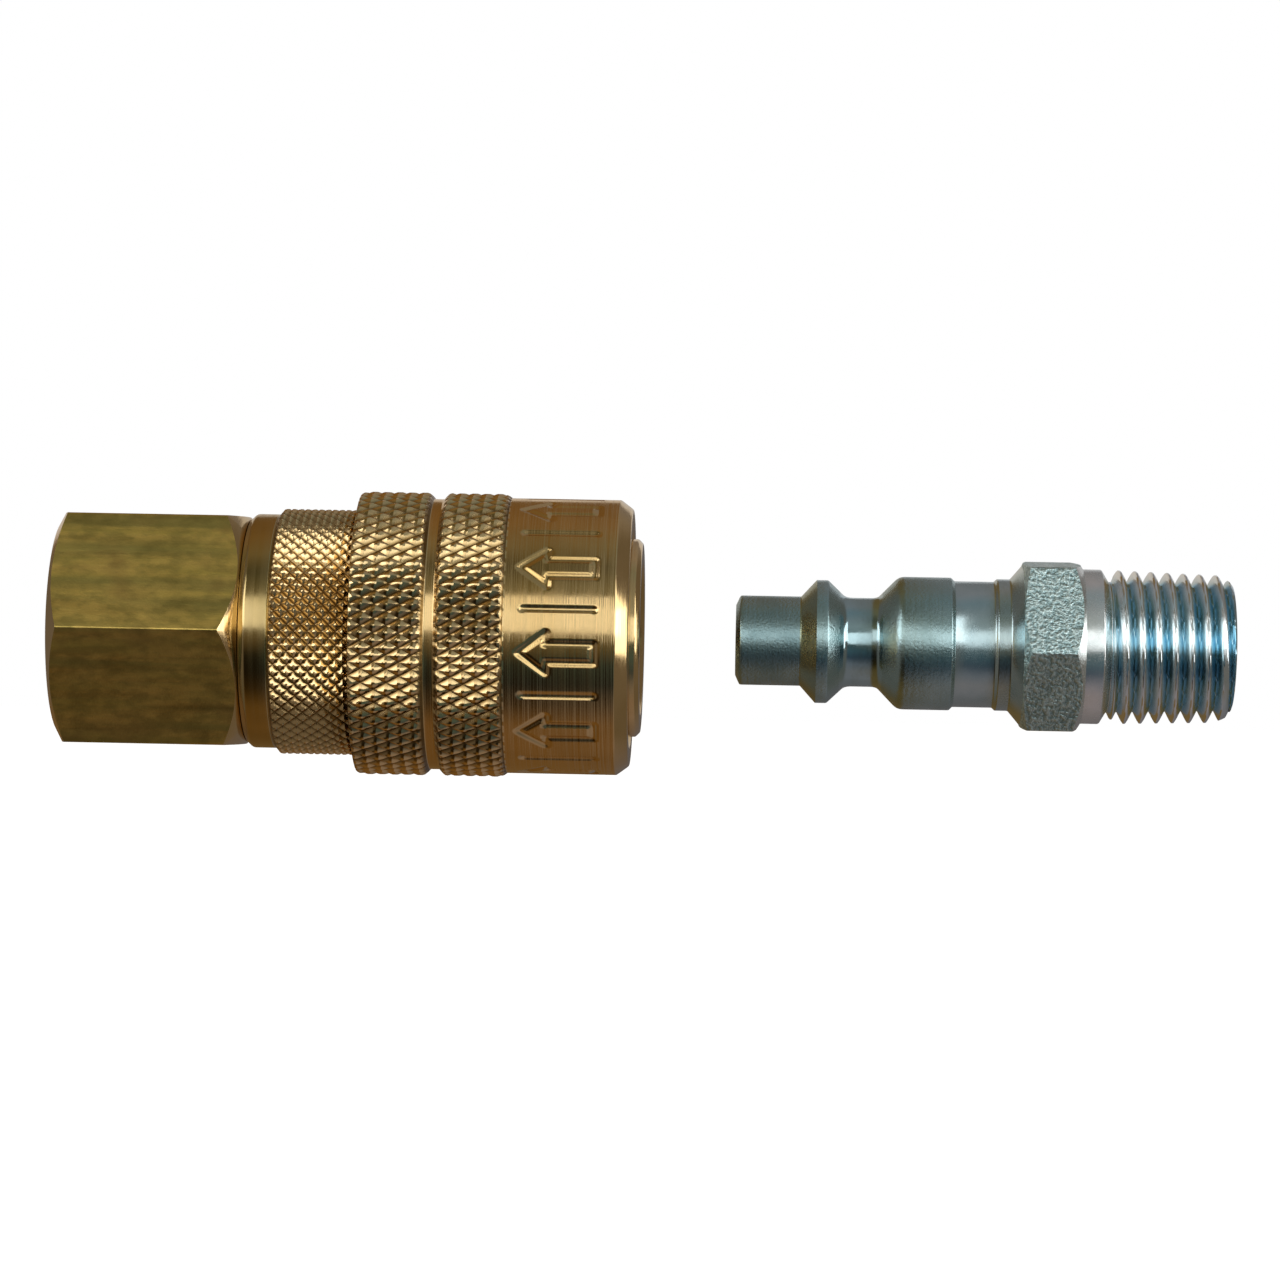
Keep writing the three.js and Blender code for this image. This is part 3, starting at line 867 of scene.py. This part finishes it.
# Brightness of the room round the X axis, as seen in polished metal: degrees above the front, colour
# over the socket and colour over the plug.
ROOM = (
    (-180, (0.16, 0.10, 0.038), (0.12, 0.11, 0.11)),
    (-120, (0.16, 0.092, 0.030), (0.20, 0.17, 0.165)),
    (-106, (0.17, 0.097, 0.032), (0.24, 0.20, 0.198)),
    (-81, (0.15, 0.084, 0.024), (0.25, 0.206, 0.20)),
    (-60, (0.035, 0.020, 0.004), (0.195, 0.18, 0.192)),
    (-41, (0.010, 0.007, 0.003), (0.05, 0.068, 0.088)),
    (-23, (0.012, 0.009, 0.004), (0.065, 0.11, 0.125)),
    (-8, (0.12, 0.085, 0.035), (0.06, 0.09, 0.09)),
    (10, (0.17, 0.145, 0.08), (0.20, 0.24, 0.23)),
    (41, (0.15, 0.13, 0.065), (0.32, 0.34, 0.33)),
    (60, (0.07, 0.065, 0.035), (0.27, 0.28, 0.28)),
    (81, (0.20, 0.155, 0.08), (0.21, 0.25, 0.265)),
    (107, (0.21, 0.13, 0.05), (0.27, 0.245, 0.246)),
    (134, (0.19, 0.11, 0.04), (0.25, 0.23, 0.226)),
    (180, (0.16, 0.10, 0.038), (0.12, 0.11, 0.11)),
)
ROOM_MIDDLE = (-0.04, 0.01)  # X of the directions where the socket's colours give way to the plug's
ROOM_ENDS = (0.15, 0.13, 0.11)  # colour of the room past each end of the object
ROOM_ENDS_FROM = (0.45, 0.65)  # X, either way, of the directions where it takes over


def make_world():
    world = bpy.data.worlds.new("studio")
    world.use_nodes = True
    tree = world.node_tree
    tree.nodes.clear()

    def node(kind, **settings):
        made = tree.nodes.new(kind)
        for name, value in settings.items():
            setattr(made, name, value)
        return made

    def link(output, target):
        tree.links.new(output, target)

    def share_of(value, low, high):
        made = node("ShaderNodeMapRange")
        made.inputs["From Min"].default_value = low
        made.inputs["From Max"].default_value = high
        link(value, made.inputs["Value"])
        return made.outputs["Result"]

    place = node("ShaderNodeTexCoord")
    split = node("ShaderNodeSeparateXYZ")
    link(place.outputs["Generated"], split.inputs[0])
    front = node("ShaderNodeMath", operation="MULTIPLY")
    front.inputs[1].default_value = -1
    link(split.outputs["Y"], front.inputs[0])
    angle = node("ShaderNodeMath", operation="ARCTAN2")
    link(split.outputs["Z"], angle.inputs[0])
    link(front.outputs[0], angle.inputs[1])
    turn = share_of(angle.outputs[0], -math.pi, math.pi)
    blend = node("ShaderNodeMix", data_type="RGBA")
    link(share_of(split.outputs["X"], *ROOM_MIDDLE), blend.inputs["Factor"])
    for side in (1, 2):
        ramp = node("ShaderNodeValToRGB")
        while len(ramp.color_ramp.elements) < len(ROOM):
            ramp.color_ramp.elements.new(0.5)
        for element, band in zip(ramp.color_ramp.elements, ROOM):
            element.position = band[0] / 360 + 0.5
            element.color = (*band[side], 1)
        link(turn, ramp.inputs["Fac"])
        link(ramp.outputs["Color"], blend.inputs[5 + side])
    sideways = node("ShaderNodeMath", operation="ABSOLUTE")
    link(split.outputs["X"], sideways.inputs[0])
    ends = node("ShaderNodeMix", data_type="RGBA")
    link(share_of(sideways.outputs[0], *ROOM_ENDS_FROM), ends.inputs["Factor"])
    link(blend.outputs[2], ends.inputs[6])
    ends.inputs[7].default_value = (*ROOM_ENDS, 1)
    room = node("ShaderNodeBackground")
    link(ends.outputs[2], room.inputs["Color"])
    backdrop = node("ShaderNodeBackground")
    backdrop.inputs["Color"].default_value = (1, 1, 1, 1)
    path = node("ShaderNodeLightPath")
    choose = node("ShaderNodeMixShader")
    link(path.outputs["Is Camera Ray"], choose.inputs["Fac"])
    link(room.outputs[0], choose.inputs[1])
    link(backdrop.outputs[0], choose.inputs[2])
    output = node("ShaderNodeOutputWorld")
    link(choose.outputs[0], output.inputs["Surface"])
    bpy.context.scene.world = world


FLOOR_SIZE = 6
FLOOR_HEIGHT = -0.065


def make_floor():
    """A wide pale floor below the object, which hangs from its air line."""
    bpy.ops.mesh.primitive_plane_add(size=FLOOR_SIZE, location=(0, 0, FLOOR_HEIGHT))
    floor = bpy.context.object
    floor.name = "studio_floor"
    paint = bpy.data.materials.new("pale_floor")
    paint.use_nodes = True
    shader = paint.node_tree.nodes["Principled BSDF"]
    shader.inputs["Base Color"].default_value = (0.8, 0.8, 0.8, 1)
    shader.inputs["Roughness"].default_value = 0.9
    shader.inputs["Emission Color"].default_value = (1, 1, 1, 1)
    shader.inputs["Emission Strength"].default_value = 0.93
    floor.data.materials.append(paint)
    floor.visible_glossy = False
    floor.visible_diffuse = False


make_camera()
make_lights()
make_world()
make_floor()
bpy.context.scene.view_settings.view_transform = "Standard"
